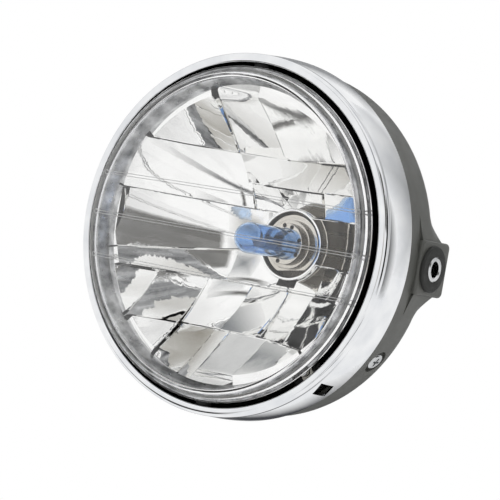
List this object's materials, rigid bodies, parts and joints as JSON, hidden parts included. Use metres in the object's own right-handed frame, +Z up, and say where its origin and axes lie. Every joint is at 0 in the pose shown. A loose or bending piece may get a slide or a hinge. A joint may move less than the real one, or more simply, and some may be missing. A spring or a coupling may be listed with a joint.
{
  "type": "round motorcycle headlight",
  "caption": "Round motorcycle headlight: chrome rim, clear domed lens over a faceted mirror reflector and tinted bulb, black bowl shell with side mounting ears and a side-to-side aim adjuster.",
  "frame": {"origin": "midway between the two mounting ears, on their common bolt axis, which is also the middle of the lamp's box", "axes": "+X out of the right ear seen from the front, +Y back along the lamp's axis (the lens faces -Y), +Z up"},
  "size_m": [0.201, 0.1386, 0.196],
  "materials": {
    "shell_plastic": "satin moulded",
    "chrome": "polished plate",
    "black_steel": "satin black",
    "rubber": "matte moulded",
    "zinc_steel": "bright zinc plate",
    "clear_lens": "clear polished",
    "mirror_plastic": "metallised mirror",
    "nylon": "natural moulded",
    "black_nylon": "moulded",
    "blue_glass": "tinted clear",
    "bulb_metal": "nickel plate",
    "tungsten": "drawn wire and sheet",
    "terminal_brass": "tinned brass"
  },
  "bodies": {
    "housing": {"shell": "shell_plastic", "chrome_rim": "chrome", "mounting_ring": "black_steel", "wiring_grommet": "rubber", "case_screws": "zinc_steel", "case_nuts": "zinc_steel", "pivot_pins": "zinc_steel", "grommet_left": "rubber", "grommet_right": "rubber", "collar_left": "zinc_steel", "collar_right": "zinc_steel"},
    "light_unit": {"lens": "clear_lens", "lens_seal": "rubber", "reflector": "mirror_plastic", "adjuster_nut": "nylon", "bulb_glass": "blue_glass", "bulb_base": "bulb_metal", "bulb_filaments": "tungsten", "bulb_shield": "tungsten", "bulb_terminals": "terminal_brass", "bulb_clip": "zinc_steel", "clip_screw": "zinc_steel", "bulb_boot": "rubber"},
    "adjuster": {"adjuster_screw": "zinc_steel", "adjuster_wheel": "black_nylon", "adjuster_clip": "zinc_steel"}
  },
  "joints": [
    {"name": "beam_aim", "type": "hinge", "parent": "housing", "child": "light_unit", "pos_m": [0, -0.0398, 0], "axis": [0, 0, 1], "range_deg": [-2, 2]},
    {"name": "adjuster_turn", "type": "hinge", "parent": "housing", "child": "adjuster", "pos_m": [0.0592, -0.03, -0.06238], "axis": [0, 1, 0], "range_deg": [-500, 500]}
  ],
  "couplings": [
    {"joint": "adjuster_turn", "follows": "beam_aim", "ratio": -247.97}
  ]
}
